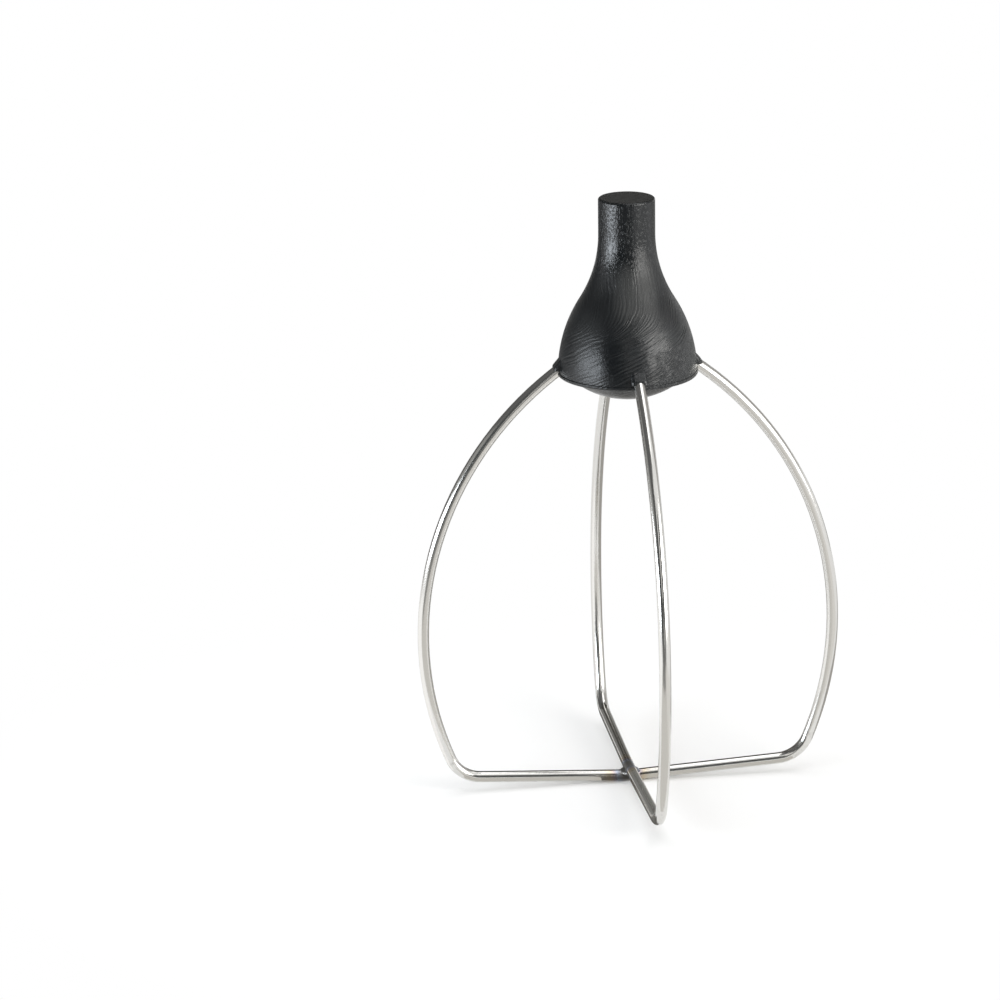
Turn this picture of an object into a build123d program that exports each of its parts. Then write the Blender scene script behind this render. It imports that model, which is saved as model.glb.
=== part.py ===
from build123d import *
import math
import os

os.makedirs("parts", exist_ok=True)

# Wire loops, in millimetres and degrees
wire_diameter = 2.5
whisk_width = 93.3
bow_radius = 73.2
corner_radius = 7.5
centre_bend_radius = 20.0
outer_dip_angle = 3.1
inner_dip_angle = 1.9
wire_end_radius = 4.5

# Weld where the loops cross
weld_set_down = 1.0
weld_bead_reach = 1.05
weld_bead_height = 2.4

# Hub, measured from the floor and from the rim's lower edge
rim_height = 93.45
hub_height = 38.7
rim_diameter = 30.4
stem_diameter = 12.2
stem_length = 7.8
stem_edge_radius = 0.5
waist_reach_share = 0.47
waist_rise_share = 0.52
parting_band = 0.9
parting_step = 0.2
rim_edge_radius = 0.5
rim_flat = 2.2
dome_depth = 5.2

# Hood over each wire where it leaves the hub
exit_rise = 1.3
hood_rise = 0.25
hood_lip = 0.7
hood_slope = 50.0
hood_width = 3.6
hood_reach = 1.0
hood_crease_radius = 1.0
hood_edge_radius = 0.8

# Latch notch at the foot of the stem
notch_drop = 3.0
notch_width = 4.4
notch_height = 3.0
notch_depth = 1.0
notch_corner_radius = 1.2

# Sizes that follow from those above
wire_radius = wire_diameter / 2
loop_half_width = whisk_width / 2 - wire_radius
rim_radius = rim_diameter / 2
stem_radius = stem_diameter / 2
exit_height = rim_height + exit_rise
bow_centre_x = loop_half_width - bow_radius
bow_centre_z = exit_height - math.sqrt(bow_radius**2 - (rim_radius - bow_centre_x) ** 2)
outer_lowest = wire_radius
inner_lowest = outer_lowest + wire_diameter - weld_set_down


def arc_about(centre, start, end):
    """Shorter arc about a centre from one point to another."""
    radius = (start - centre).length
    middle = centre + (start + end - centre * 2).normalized() * radius
    return ThreePointArc(start, middle, end)


def wire_loop(lowest, dip_angle):
    """Round wire bent to a balloon shape in the XZ plane, open at the top."""
    dip = math.radians(dip_angle)
    along = Vector(math.cos(dip), 0, math.sin(dip))
    across = Vector(-math.sin(dip), 0, math.cos(dip))
    bend_centre = Vector(0, 0, lowest + centre_bend_radius)
    bow_centre = Vector(bow_centre_x, 0, bow_centre_z)

    # The corner touches the bottom run and the bow, which fixes the run's length
    run_start = bend_centre - across * centre_bend_radius
    offset = run_start + across * corner_radius - bow_centre
    lean = offset.dot(along)
    run_length = math.sqrt(lean**2 - offset.dot(offset) + (bow_radius - corner_radius) ** 2) - lean
    run_end = run_start + along * run_length
    corner_centre = run_end + across * corner_radius
    corner_end = bow_centre + (corner_centre - bow_centre).normalized() * bow_radius
    end_z = bow_centre_z + math.sqrt(bow_radius**2 - (wire_end_radius - bow_centre_x) ** 2)
    wire_end = Vector(wire_end_radius, 0, end_z)

    half = Line(run_start, run_end)
    half += arc_about(corner_centre, run_end, corner_end)
    half += arc_about(bow_centre, corner_end, wire_end)
    bend = arc_about(bend_centre, Vector(-run_start.X, 0, run_start.Z), run_start)
    path = Wire((half + bend + mirror(half, about=Plane.YZ)).edges())
    section = Plane(origin=path @ 0, z_dir=path % 0) * Circle(wire_radius)
    return sweep(section, path=path)


# Loops: the inner one lies across the outer one and is shaped to it
outer_loop = wire_loop(outer_lowest, outer_dip_angle)
inner_wire = Rot(0, 0, 90) * wire_loop(inner_lowest, inner_dip_angle)
bead_face = Plane.XZ * Ellipse(wire_radius + weld_bead_reach, weld_bead_height / 2)
bead_half = split(bead_face, bisect_by=Plane.YZ, keep=Keep.TOP)
bead = Pos(0, 0, (outer_lowest + inner_lowest) / 2) * revolve(bead_half, axis=Axis.Z)
inner_loop = inner_wire + bead - outer_loop

# Hub body, turned about the stem's axis
stem_top = rim_height + hub_height
stem_foot = stem_top - stem_length
parting_height = rim_height + parting_band
skirt_radius = rim_radius - parting_step
dome_radius = rim_radius - rim_flat
dome_ball = (dome_radius**2 + dome_depth**2) / (2 * dome_depth)
waist_x = stem_radius + waist_reach_share * (skirt_radius - stem_radius)
waist_z = parting_height + waist_rise_share * (stem_foot - parting_height)
stem_edge_start = Vector(stem_radius - stem_edge_radius, 0, stem_top)
stem_edge_end = Vector(stem_radius, 0, stem_top - stem_edge_radius)
stem_edge_centre = Vector(stem_edge_start.X, 0, stem_edge_end.Z)
bead_centre = Vector(skirt_radius, 0, parting_height - parting_step)
bead_end = Vector(rim_radius, 0, bead_centre.Z)
rim_edge_start = Vector(rim_radius, 0, rim_height + rim_edge_radius)
rim_edge_end = Vector(rim_radius - rim_edge_radius, 0, rim_height)
rim_edge_centre = Vector(rim_edge_end.X, 0, rim_edge_start.Z)
dome_start = Vector(dome_radius, 0, rim_height)
dome_bottom = Vector(0, 0, rim_height - dome_depth)
dome_centre = dome_bottom + Vector(0, 0, dome_ball)
flare = TangentArc((stem_radius, 0, stem_foot), (waist_x, 0, waist_z), tangent=(0, 0, -1))
shoulder = TangentArc(flare @ 1, (skirt_radius, 0, parting_height), tangent=flare % 1)
outline = [
    Line((0, 0, stem_top), stem_edge_start),
    arc_about(stem_edge_centre, stem_edge_start, stem_edge_end),
    Line(stem_edge_end, flare @ 0),
    flare,
    shoulder,
    arc_about(bead_centre, shoulder @ 1, bead_end),
    Line(bead_end, rim_edge_start),
    arc_about(rim_edge_centre, rim_edge_start, rim_edge_end),
    Line(rim_edge_end, dome_start),
    arc_about(dome_centre, dome_start, dome_bottom),
    Line(dome_bottom, (0, 0, stem_top)),
]
body = revolve(make_face(Wire(outline)), axis=Axis.Z)

# Hoods: a wedge on the skirt over each wire, flat underneath where the wire comes out
hood_bottom = exit_height + hood_rise
hood_end = rim_radius + hood_reach
hood_top = hood_bottom + hood_lip + (hood_end - dome_radius) * math.tan(math.radians(hood_slope))
hood_corners = [
    (dome_radius, hood_bottom),
    (hood_end, hood_bottom),
    (hood_end, hood_bottom + hood_lip),
    (dome_radius, hood_top),
]
hood_sketch = make_face(Polyline(hood_corners, close=True))
hood_sketch = fillet(hood_sketch.vertices().group_by(Axis.X)[-1].sort_by(Axis.Y)[-1], hood_crease_radius)
hood = extrude(Plane.XZ * hood_sketch, hood_width / 2, both=True)
hood_edges = hood.faces().filter_by(Axis.Y).edges()
hood_edges -= hood.faces().sort_by(Axis.Z)[0].edges()
hood_edges -= hood.faces().sort_by(Axis.X)[0].edges()
hood = fillet(hood_edges, hood_edge_radius)
for turn in (0, 90, 180, 270):
    body += Rot(0, 0, turn) * hood

# Latch notch on the back, and the room that the wires fill
notch_floor = stem_radius - notch_depth
notch_plane = Plane(origin=(0, notch_floor, 0), x_dir=(-1, 0, 0), z_dir=(0, 1, 0))
notch_sketch = Pos(0, stem_foot - notch_drop - notch_height / 2) * Rectangle(notch_width, notch_height)
notch_sketch = fillet(notch_sketch.vertices().group_by(Axis.Y)[0], notch_corner_radius)
notch = extrude(notch_plane * notch_sketch, rim_radius)
hub = body - notch - outer_loop - inner_loop

export_step(hub, "parts/hub.step")
export_step(outer_loop, "parts/outer_loop.step")
export_step(inner_loop, "parts/inner_loop.step")
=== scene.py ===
import math

import bpy
from mathutils import Matrix, Vector

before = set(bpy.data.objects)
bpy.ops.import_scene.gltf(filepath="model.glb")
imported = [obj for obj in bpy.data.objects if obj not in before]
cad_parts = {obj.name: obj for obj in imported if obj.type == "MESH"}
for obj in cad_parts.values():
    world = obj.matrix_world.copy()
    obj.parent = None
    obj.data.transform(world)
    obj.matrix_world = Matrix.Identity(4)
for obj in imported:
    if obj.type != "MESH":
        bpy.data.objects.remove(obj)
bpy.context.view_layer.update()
MM = 0.001


class Graph:
    """Short names for adding shader nodes to one node tree."""

    def __init__(self, tree):
        self.tree = tree
        tree.nodes.clear()

    def add(self, kind, **settings):
        node = self.tree.nodes.new(kind)
        for name, value in settings.items():
            setattr(node, name, value)
        return node

    def put(self, value, socket):
        """Links an output to a socket, or writes a constant on it."""
        if isinstance(value, bpy.types.NodeSocket):
            self.tree.links.new(value, socket)
        else:
            socket.default_value = value

    def math(self, operation, a, b=None, clamp=False):
        node = self.add("ShaderNodeMath", operation=operation, use_clamp=clamp)
        self.put(a, node.inputs[0])
        if b is not None:
            self.put(b, node.inputs[1])
        return node.outputs[0]

    def plus(self, total, *others):
        for other in others:
            total = self.math("ADD", total, other)
        return total

    def minus(self, a, b):
        return self.math("SUBTRACT", a, b)

    def times(self, product, *others):
        for other in others:
            product = self.math("MULTIPLY", product, other)
        return product

    def ease(self, value, low, high):
        """0 below low and 1 above high, eased between; low may be the larger."""
        node = self.add("ShaderNodeMapRange", interpolation_type="SMOOTHSTEP")
        self.put(value, node.inputs["Value"])
        flip = low > high
        self.put(min(low, high), node.inputs["From Min"])
        self.put(max(low, high), node.inputs["From Max"])
        self.put(1.0 if flip else 0.0, node.inputs["To Min"])
        self.put(0.0 if flip else 1.0, node.inputs["To Max"])
        return node.outputs["Result"]

    def zone(self, value, rise, fall):
        """1 inside a zone and 0 outside it, with a pair of limits to ease over at each end."""
        return self.times(self.ease(value, *rise), self.ease(value, *fall))

    def span(self, value, low, high):
        """Spreads a value from 0 to 1 over low to high."""
        node = self.add("ShaderNodeMapRange")
        self.put(value, node.inputs["Value"])
        self.put(low, node.inputs["To Min"])
        self.put(high, node.inputs["To Max"])
        return node.outputs["Result"]

    def noise(self, vector, scale, detail=2.0, roughness=0.5, distortion=0.0):
        node = self.add("ShaderNodeTexNoise")
        self.put(vector, node.inputs["Vector"])
        self.put(scale, node.inputs["Scale"])
        self.put(detail, node.inputs["Detail"])
        self.put(roughness, node.inputs["Roughness"])
        self.put(distortion, node.inputs["Distortion"])
        return node.outputs["Fac"]

    def swing(self, noise, width):
        """Makes a noise swing about zero, over this width."""
        return self.times(self.minus(noise, 0.5), width)

    def blend(self, share, a, b):
        """Colour a where share is 0 and b where it is 1."""
        node = self.add("ShaderNodeMix", data_type="RGBA")
        self.put(share, node.inputs[0])
        self.put(a, node.inputs[6])
        self.put(b, node.inputs[7])
        return node.outputs[2]

    def ramp(self, value, stops):
        node = self.add("ShaderNodeValToRGB")
        band = node.color_ramp
        while len(band.elements) < len(stops):
            band.elements.new(1.0)
        for element, (place, colour) in zip(band.elements, stops):
            element.position = place
            element.color = colour
        self.put(value, node.inputs[0])
        return node.outputs[0]

    def join(self, x, y, z):
        node = self.add("ShaderNodeCombineXYZ")
        for value, socket in zip((x, y, z), node.inputs):
            self.put(value, socket)
        return node.outputs[0]

    def vector(self, operation, a, b):
        node = self.add("ShaderNodeVectorMath", operation=operation)
        self.put(a, node.inputs[0])
        self.put(b, node.inputs["Scale" if operation == "SCALE" else 1])
        return node.outputs["Value" if operation == "DISTANCE" else "Vector"]

    def place(self):
        """Position in the part's own frame, in millimetres: the vector, x, y and z."""
        coordinates = self.add("ShaderNodeTexCoord")
        spot = self.vector("SCALE", coordinates.outputs["Object"], 1.0 / MM)
        parts = self.add("ShaderNodeSeparateXYZ")
        self.put(spot, parts.inputs[0])
        return spot, parts.outputs[0], parts.outputs[1], parts.outputs[2]

    def from_axis(self, x, y):
        """Distance from the stem's axis."""
        return self.math("SQRT", self.plus(self.times(x, x), self.times(y, y)))

    def bump(self, height, strength, distance):
        node = self.add("ShaderNodeBump")
        self.put(strength, node.inputs["Strength"])
        self.put(distance, node.inputs["Distance"])
        self.put(height, node.inputs["Height"])
        return node.outputs[0]

    def shader(self, kind, **inputs):
        """A shader with these inputs; an underscore in a name stands for a space."""
        node = self.add(kind)
        for name, value in inputs.items():
            self.put(value, node.inputs[name.replace("_", " ")])
        return node.outputs[0]

    def either(self, share, a, b):
        """Shader a where share is 0 and b where it is 1."""
        node = self.add("ShaderNodeMixShader")
        for value, socket in zip((share, a, b), node.inputs):
            self.put(value, socket)
        return node.outputs[0]

    def output(self, shader, kind="ShaderNodeOutputMaterial"):
        self.put(shader, self.add(kind).inputs["Surface"])


def rgb(red, green, blue):
    return (red, green, blue, 1.0)


def new_material(name):
    material = bpy.data.materials.new(name)
    material.use_nodes = True
    return material, Graph(material.node_tree)


# Zones of the hub by height above the floor, in millimetres, as the limits they ease over
BELL_TOP = (120.0, 114.5)
FOOT_HEIGHTS = ((110.0, 115.0), (124.0, 119.0))
NECK_HEIGHTS = ((101.0, 108.0), (119.0, 114.0))
# Painted sheen on the front of the neck, in a lighter grey
SHEEN_HEIGHTS = ((106.5, 110.0), (121.0, 116.0))
# Painted shade on the right flank of the bell, where the streaks are darkened
SHADED_FLANK_HEIGHTS = ((104.5, 107.0), (114.0, 111.5))
SKIRT_TOP = (107.0, 103.0)
LINES_TURN = (106.0, 103.4)
WRINKLES_TOP = (103.0, 99.5)

# Zones by distance round the hub from the front, in millimetres, plus to the right
# Painted sheen across the front of the neck
SHEEN_WIDTH = ((-6.0, -1.0), (6.5, 3.0))
# Painted shade across the right flank of the bell
SHADED_FLANK_WIDTH = ((3.5, 6.5), (13.0, 10.5))
FOOT_RIGHT = (-0.5, 2.5)
SKIRT_LEFT = (-5.5, -12.0)
UPPER_LINES_DEEP = (-9.0, -3.5)
LOWER_LINES_DEEP = (-7.0, 1.0)
WRINKLES_RIGHT = (1.0, 7.0)

# The lines end at the back, where the unrolled surface has its seam, in radians from the front
BACK_SEAM = (3.0, 2.5)

# Flow lines: spacings, heights and depth in millimetres, with the slope and curl of their paths
UPPER_SPACING = 0.80
LOWER_SPACING = 0.85
LOWER_SLOPE = 0.44
CURL_TOP = 112.5
CURL_RATE = 0.0097
HUB_RELIEF = 0.12

HUB_BLACK = rgb(0.0035, 0.0045, 0.0055)
HUB_STREAK = rgb(0.025, 0.0275, 0.0285)
# Grey of the painted sheen on the front of the neck
HUB_PAINTED_SHEEN = rgb(0.034, 0.035, 0.0345)


def flow_lines(g, across, along, spacing):
    """Ridges side by side across the flow, with strands that come and go along it."""
    stretched = g.join(g.math("DIVIDE", across, spacing), g.times(along, 0.16), 0.0)
    drift = g.swing(g.noise(stretched, 0.45, roughness=0.6), 13.0)
    phase = g.plus(g.times(across, 2 * math.pi / spacing), drift)
    strength = g.span(g.ease(g.noise(stretched, 0.55), 0.38, 0.66), 0.06, 0.50)
    wave = g.times(g.math("SINE", phase), strength)
    strand = g.noise(stretched, 2.0, detail=3.0, roughness=0.65)
    return g.plus(wave, g.times(strand, 1.25))


def hub_lines(g, spot, u, z):
    """Lines that stand upright on the neck, turn as they come down and lie almost level on the skirt."""
    broad = g.swing(g.noise(spot, 0.10), 3.0)
    sway = g.plus(broad, g.swing(g.noise(spot, 0.8), 0.35))
    turned = g.ease(g.plus(z, g.times(broad, 0.6)), *LINES_TURN)

    fall = g.math("MAXIMUM", g.minus(CURL_TOP, z), 0.0)
    curl = g.times(g.math("POWER", fall, 3.0), CURL_RATE)
    upper = flow_lines(g, g.plus(u, curl, sway), z, UPPER_SPACING)
    upper_depth = g.times(g.span(turned, 0.95, 0.0), g.span(g.ease(u, *UPPER_LINES_DEEP), 0.5, 1.0))

    level = g.plus(g.minus(z, g.times(u, LOWER_SLOPE)), g.times(sway, 0.5))
    lower = flow_lines(g, level, u, LOWER_SPACING)
    lower_depth = g.times(turned, g.span(g.ease(u, *LOWER_LINES_DEEP), 0.55, 1.2))
    return g.plus(g.times(upper, upper_depth), g.times(lower, lower_depth))


def hub_plastic():
    """Black moulded plastic: grainy on the stem, lined on the bell, wrinkled at the skirt's right."""
    material, g = new_material("hub_plastic")
    spot, x, y, z = g.place()

    # Unrolled surface: u runs round the hub from the front, in millimetres
    turn = g.math("ARCTAN2", x, g.times(y, -1.0))
    u = g.times(turn, g.from_axis(x, y))
    on_bell = g.times(g.ease(z, *BELL_TOP), g.ease(g.math("ABSOLUTE", turn), *BACK_SEAM))

    # Relief
    patch = g.plus(u, g.swing(g.noise(spot, 0.12), 14.0))
    wrinkled = g.times(g.ease(patch, *WRINKLES_RIGHT), g.ease(z, *WRINKLES_TOP))
    whorl = g.noise(spot, 0.42, detail=3.0, roughness=0.55, distortion=2.2)
    wrinkle = g.math("SINE", g.times(whorl, 46.0))
    lines = hub_lines(g, spot, u, z)
    lined = g.times(on_bell, g.minus(1.0, g.times(wrinkled, 0.7)))
    grain = g.noise(g.join(x, y, g.times(z, 0.5)), 2.6, roughness=0.6)
    fleck = g.times(g.ease(grain, 0.52, 0.64), g.minus(1.0, on_bell))
    height = g.plus(
        g.times(lines, lined),
        g.times(wrinkle, wrinkled, 0.35),
        g.times(grain, g.span(on_bell, 0.9, 0.5)),
        g.times(fleck, 0.25),
    )
    normal = g.bump(height, 0.6, HUB_RELIEF * MM)

    # Colour: streaks and flecks a little greyer than the black, painted shade on the right flank and a
    # painted sheen on the front of the neck
    clouds = g.noise(spot, 0.11)
    streak = g.times(g.ease(lines, 0.3, 1.0), lined)
    tone = g.plus(g.times(streak, 0.5), g.times(g.ease(clouds, 0.35, 0.7), 0.2), g.times(fleck, 0.5))
    tone = g.math("ADD", tone, g.times(wrinkled, 0.35), clamp=True)
    # Painted shade: the streaks' grey is taken down on the right flank of the bell
    painted_shade_flank = g.times(g.zone(u, *SHADED_FLANK_WIDTH), g.zone(z, *SHADED_FLANK_HEIGHTS))
    tone = g.times(tone, g.span(painted_shade_flank, 1.0, 0.1))
    # Painted sheen: a lighter grey blended in on the front of the neck
    painted_sheen = g.times(g.zone(u, *SHEEN_WIDTH), g.zone(z, *SHEEN_HEIGHTS))
    colour = g.blend(g.times(painted_sheen, 0.8), g.blend(tone, HUB_BLACK, HUB_STREAK), HUB_PAINTED_SHEEN)

    # Gloss: duller on the neck, at the right of the stem's foot and at the left of the skirt
    foot = g.times(g.zone(z, *FOOT_HEIGHTS), g.ease(u, *FOOT_RIGHT))
    skirt = g.times(g.ease(z, *SKIRT_TOP), g.ease(u, *SKIRT_LEFT))
    rough = g.plus(
        g.span(clouds, 0.14, 0.23),
        g.times(streak, 0.05),
        g.times(g.zone(z, *NECK_HEIGHTS), 0.16),
        g.times(foot, 0.2),
        g.times(skirt, 0.18),
    )
    plastic = g.shader(
        "ShaderNodeBsdfPrincipled", Base_Color=colour, Roughness=rough, IOR=1.5, Normal=normal
    )
    g.output(plastic)
    return material


# Places on the wire, in millimetres
BEND_REACH = (34.5, 37.5)
BEND_TOP = (10.5, 7.0)
WELD = (0.0, 0.0, 2.0)
WELD_REACH = 10.0
WIRE_RELIEF = 0.03

WIRE_MARK = rgb(0.34, 0.33, 0.31)
WIRE_LINE = rgb(0.42, 0.41, 0.39)

# Heat colours from the weld outwards, by share of its reach
HEAT_COLOURS = (
    (0.00, rgb(0.22, 0.215, 0.20)),
    (0.22, rgb(0.27, 0.26, 0.25)),
    (0.30, rgb(0.38, 0.42, 0.50)),
    (0.37, rgb(0.52, 0.45, 0.44)),
    (0.46, rgb(0.64, 0.56, 0.44)),
    (0.65, rgb(0.69, 0.665, 0.62)),
    (1.00, rgb(0.70, 0.69, 0.665)),
)


def loop_wire():
    """Drawn stainless wire: fine lines along it, marks at the bends and heat colours round the weld."""
    material, g = new_material("loop_wire")
    spot, x, y, z = g.place()

    # Lines along the wire: they change round the wire but hardly along it
    facing = g.add("ShaderNodeNewGeometry").outputs["Normal"]
    sides = g.vector("ADD", g.vector("SCALE", facing, 7.0), g.vector("SCALE", spot, 0.06))
    drawn = g.noise(sides, 2.0, detail=3.0, roughness=0.6)

    # Marks where the wire was bent, at the lower corners of both loops
    reach = g.math("MAXIMUM", g.math("ABSOLUTE", x), g.math("ABSOLUTE", y))
    bend = g.times(g.ease(reach, *BEND_REACH), g.ease(z, *BEND_TOP))
    scuffs = g.noise(spot, 0.9, detail=3.0, roughness=0.6, distortion=0.6)
    marks = g.times(g.ease(scuffs, 0.50, 0.72), bend)

    # Heat colours, which reach further to the left of the weld
    cloud = g.noise(spot, 0.25, detail=3.0, roughness=0.6)
    to_right = g.times(g.ease(x, -1.0, 4.0), 1.6)
    near = g.plus(g.vector("DISTANCE", spot, WELD), g.swing(cloud, 2.4), to_right)
    colour = g.ramp(g.math("DIVIDE", near, WELD_REACH), HEAT_COLOURS)
    colour = g.blend(g.times(marks, 0.4), colour, WIRE_MARK)
    colour = g.blend(g.times(g.ease(drawn, 0.62, 0.80), 0.18), colour, WIRE_LINE)

    # Gloss and relief, rougher at the marks and on the weld
    rough = g.plus(
        g.span(drawn, 0.10, 0.20), g.times(marks, 0.12), g.times(g.ease(near, 4.0, 2.0), 0.25)
    )
    crust = g.times(g.noise(spot, 1.6, detail=3.0, roughness=0.6), g.ease(near, 3.2, 2.0))
    height = g.plus(g.times(drawn, 0.5), g.times(marks, 0.8), crust)
    normal = g.bump(height, 0.14, WIRE_RELIEF * MM)
    steel = g.shader(
        "ShaderNodeBsdfPrincipled", Base_Color=colour, Metallic=1.0, Roughness=rough, Normal=normal
    )
    g.output(steel)
    return material


plastic = hub_plastic()
steel = loop_wire()
for node, material in (("hub", plastic), ("outer_loop", steel), ("inner_loop", steel)):
    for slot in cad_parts[node].material_slots:
        slot.material = material

# Studio, in metres and degrees
WHITE = rgb(1.0, 1.0, 1.0)
ROOM_LIGHT = 0.55
FLOOR_SIZE = 6.0
FLOOR_COLOUR = rgb(0.975, 0.972, 0.968)
FLOOR_FADE_MM = (40.0, 150.0)
LAYER_GAP = 0.0001
MIDDLE = Vector((0, 0, 0.065))


def seen(g):
    """1 for camera, glossy and transmission rays, 0 for the rays that only carry light."""
    path = g.add("ShaderNodeLightPath")
    total = g.plus(path.outputs["Is Camera Ray"], path.outputs["Is Glossy Ray"])
    return g.math("ADD", total, path.outputs["Is Transmission Ray"], clamp=True)


def white_room():
    """Lights the whisk gently, and is white where it shows."""
    world = bpy.data.worlds.new("studio")
    bpy.context.scene.world = world
    world.use_nodes = True
    g = Graph(world.node_tree)
    light = g.shader("ShaderNodeBackground", Color=WHITE, Strength=ROOM_LIGHT)
    shown = g.shader("ShaderNodeBackground", Color=WHITE, Strength=1.0)
    g.output(g.either(seen(g), light, shown), "ShaderNodeOutputWorld")


def panel(name, size, centre, target=None):
    """A flat sheet that faces a point, or lies level."""
    wide, tall = size[0] / 2, size[1] / 2
    corners = [(-wide, -tall, 0), (wide, -tall, 0), (wide, tall, 0), (-wide, tall, 0)]
    mesh = bpy.data.meshes.new(name)
    mesh.from_pydata(corners, [], [(0, 1, 2, 3)])
    sheet = bpy.data.objects.new(name, mesh)
    bpy.context.scene.collection.objects.link(sheet)
    sheet.location = centre
    if target is not None:
        sheet.rotation_euler = (Vector(target) - Vector(centre)).to_track_quat("Z", "Y").to_euler()
    return sheet


def pale_floor():
    """Takes the shadow near the whisk and fades to the white of the room."""
    floor = panel("floor", (FLOOR_SIZE, FLOOR_SIZE), (0, 0, 0))
    material, g = new_material("floor_pale")
    _, x, y, _ = g.place()
    fade = g.times(g.ease(g.from_axis(x, y), *FLOOR_FADE_MM), seen(g))
    matt = g.shader("ShaderNodeBsdfDiffuse", Color=FLOOR_COLOUR)
    glow = g.shader("ShaderNodeEmission", Color=WHITE, Strength=1.0)
    g.output(g.either(fade, matt, glow))
    floor.data.materials.append(material)


def towards(turn, elevation, distance):
    """A point round the whisk: turn in degrees from the front to the right, elevation above level."""
    turn, elevation = math.radians(turn), math.radians(elevation)
    level = distance * math.cos(elevation)
    height = distance * math.sin(elevation)
    return MIDDLE + Vector((level * math.sin(turn), -level * math.cos(turn), height))


def mirrored_only(card, tone):
    """Gives a card its tone and hides it from all but mirror reflections."""
    material, g = new_material(card.name)
    g.output(g.shader("ShaderNodeEmission", Color=rgb(*tone)))
    card.data.materials.append(material)
    card.visible_camera = False
    card.visible_diffuse = False
    card.visible_shadow = False
    card.visible_transmission = False


def flag(name, size, tone, turn, elevation, distance):
    """A card that stands round the whisk and faces it."""
    mirrored_only(panel(name, size, towards(turn, elevation, distance), MIDDLE), tone)


def floor_card(name, size, tone, place, turn, layer):
    """A card that lies on the floor, over those of the layers below."""
    card = panel(name, size, Vector((place[0], place[1], layer * LAYER_GAP)))
    card.rotation_euler.z = math.radians(turn)
    mirrored_only(card, tone)


def lamp(name, size, tint, brightness, turn, elevation, distance):
    """A soft panel of light that faces the whisk, with the brightness of its face."""
    data = bpy.data.lights.new(name, "AREA")
    data.shape = "RECTANGLE"
    data.size, data.size_y = size
    data.energy = brightness * math.pi * size[0] * size[1]
    data.color = tint
    light = bpy.data.objects.new(name, data)
    bpy.context.scene.collection.objects.link(light)
    light.location = towards(turn, elevation, distance)
    light.rotation_euler = (MIDDLE - light.location).to_track_quat("-Z", "Y").to_euler()


white_room()
pale_floor()

# Standing cards, which only show mirrored in the metal and plastic
flag("flag_front", (2.50, 1.40), (0.085, 0.09, 0.09), -20, 22, 1.50)
flag("card_front_high", (0.36, 0.77), (0.88, 0.87, 0.85), -9.5, 29.5, 1.35)
flag("card_front_low", (0.24, 0.20), (0.88, 0.87, 0.85), -6, 1, 1.35)
flag("flag_left", (1.10, 0.36), (0.34, 0.34, 0.33), -88, 20, 0.90)
flag("flag_upper_left", (1.30, 1.05), (0.13, 0.13, 0.13), -85, 61, 0.90)
flag("flag_back_left", (0.55, 0.80), (0.12, 0.12, 0.12), -135, 18, 0.85)
flag("flag_back_low", (0.80, 0.30), (0.24, 0.24, 0.23), 180, 5, 0.80)
flag("flag_back_high", (1.10, 0.75), (0.06, 0.056, 0.05), 175, 38, 0.85)
flag("flag_back_right", (0.75, 0.70), (0.42, 0.41, 0.40), 115, 28, 0.85)

# Cards on the floor, which only show mirrored too
floor_card("flag_far_floor", (1.40, 0.90), (0.12, 0.12, 0.12), (-0.34, -0.94), -20, 1)
floor_card("flag_left_floor", (0.72, 0.56), (0.18, 0.18, 0.18), (-0.391, 0.580), 124, 1)
floor_card("flag_right_floor", (0.72, 0.56), (0.33, 0.33, 0.32), (0.450, 0.536), 50, 1)
floor_card("card_front_floor", (0.30, 0.265), (0.76, 0.745, 0.715), (-0.01, -0.178), 0, 2)
floor_card("flag_front_floor", (0.42, 0.30), (0.20, 0.20, 0.195), (-0.114, -0.425), -15, 3)
floor_card("flag_front_near", (0.16, 0.14), (0.30, 0.30, 0.29), (-0.094, -0.21), -24, 4)
floor_card("card_front_right", (0.11, 0.265), (0.88, 0.865, 0.835), (0.085, -0.178), 0, 3)
floor_card("card_left_floor", (0.24, 0.20), (1.25, 1.25, 1.25), (-0.197, -0.017), 46, 5)
floor_card("flag_back_floor", (0.16, 0.16), (0.45, 0.44, 0.42), (0.083, 0.083), 135, 4)
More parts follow.
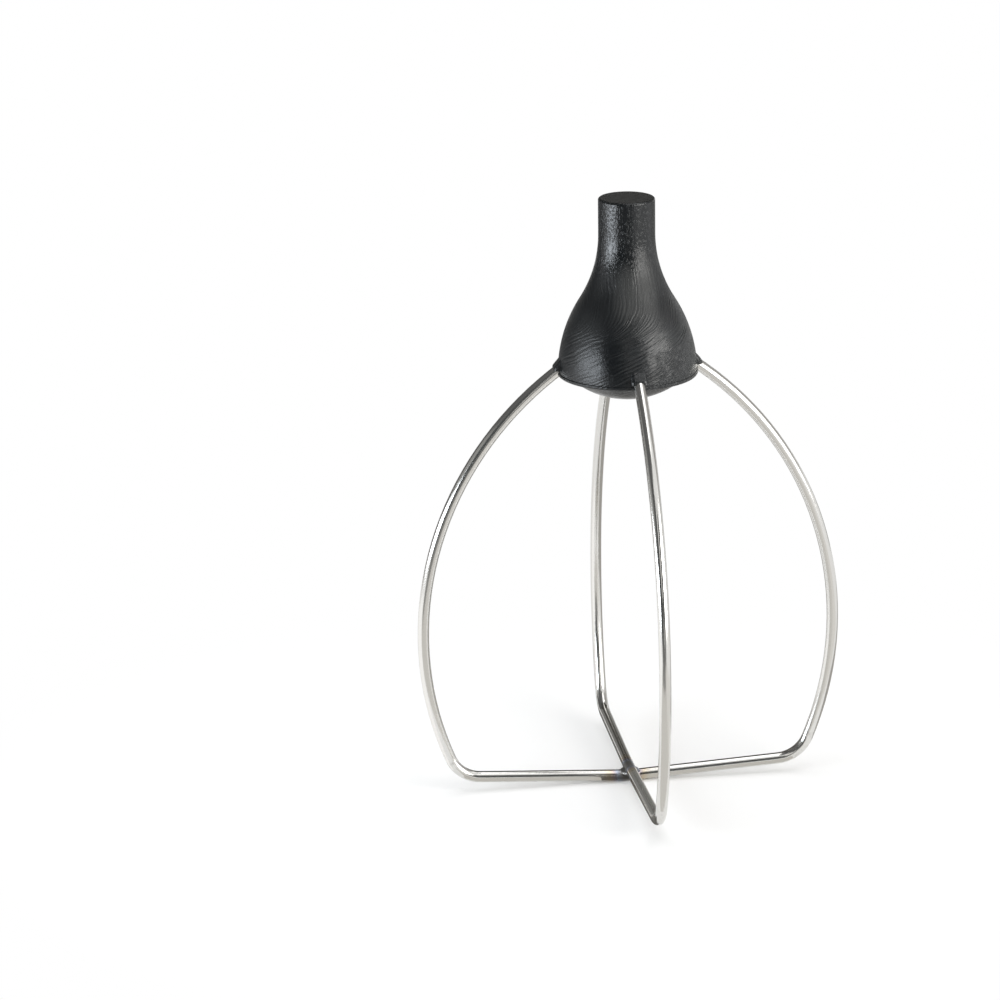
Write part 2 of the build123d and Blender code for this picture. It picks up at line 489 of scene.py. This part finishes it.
# Painted shadow: three darker strips close under the runs stand in for the runs' contact shadow, and
# show only mirrored in the wire
floor_card("painted_shadow_run_floor", (0.076, 0.016), (0.68, 0.665, 0.63), (0.0, -0.009), 0, 5)
floor_card("painted_shadow_cross_floor", (0.0065, 0.092), (0.15, 0.145, 0.135), (-0.00325, 0.010), 0, 6)
floor_card("painted_shadow_cross_back", (0.011, 0.054), (0.15, 0.145, 0.135), (-0.0055, 0.029), 0, 7)

lamp("window_left", (0.24, 0.086), (0.86, 0.93, 1.0), 9.0, -73, 3.8, 0.34)
lamp("softbox_right", (0.56, 0.42), (1.0, 0.99, 0.96), 5.2, 46, 15, 0.80)
lamp("overhead", (1.20, 1.20), (1.0, 1.0, 1.0), 1.15, 170, 84, 1.10)

# Camera at the photograph's angle, aimed so that the whisk stands right of the middle
DISTANCE = 0.968
ELEVATION = math.radians(17.27)
AZIMUTH = math.radians(-9.53)
ROLL = math.radians(0.35)
TARGET = Vector((0, 0, 0.06125))
PICTURE_PIXELS = 1000
PIXELS_PER_METRE = 4600
ACROSS = PICTURE_PIXELS / PIXELS_PER_METRE
AIM_LEFT = 0.1283 * ACROSS
AIM_UP = 0.0165 * ACROSS
SENSOR_MM = 36.0

right = Vector((math.cos(AZIMUTH), math.sin(AZIMUTH), 0))
level = Vector((-math.sin(AZIMUTH), math.cos(AZIMUTH), 0))
ahead = level * math.cos(ELEVATION) - Vector((0, 0, math.sin(ELEVATION)))
up = right.cross(ahead)
aim = TARGET - right * AIM_LEFT + up * AIM_UP
camera_data = bpy.data.cameras.new("camera")
camera_data.sensor_width = SENSOR_MM
camera_data.lens = SENSOR_MM * DISTANCE / ACROSS
camera_data.dof.use_dof = False
camera_data.clip_end = 20.0
camera = bpy.data.objects.new("camera", camera_data)
bpy.context.scene.collection.objects.link(camera)
camera.location = TARGET - ahead * DISTANCE
look = (aim - camera.location).normalized()
top = Matrix.Rotation(ROLL, 3, look) @ right.cross(look).normalized()
camera.rotation_euler = Matrix((look.cross(top), top, -look)).transposed().to_euler()
bpy.context.scene.camera = camera
bpy.context.scene.view_settings.view_transform = "Standard"
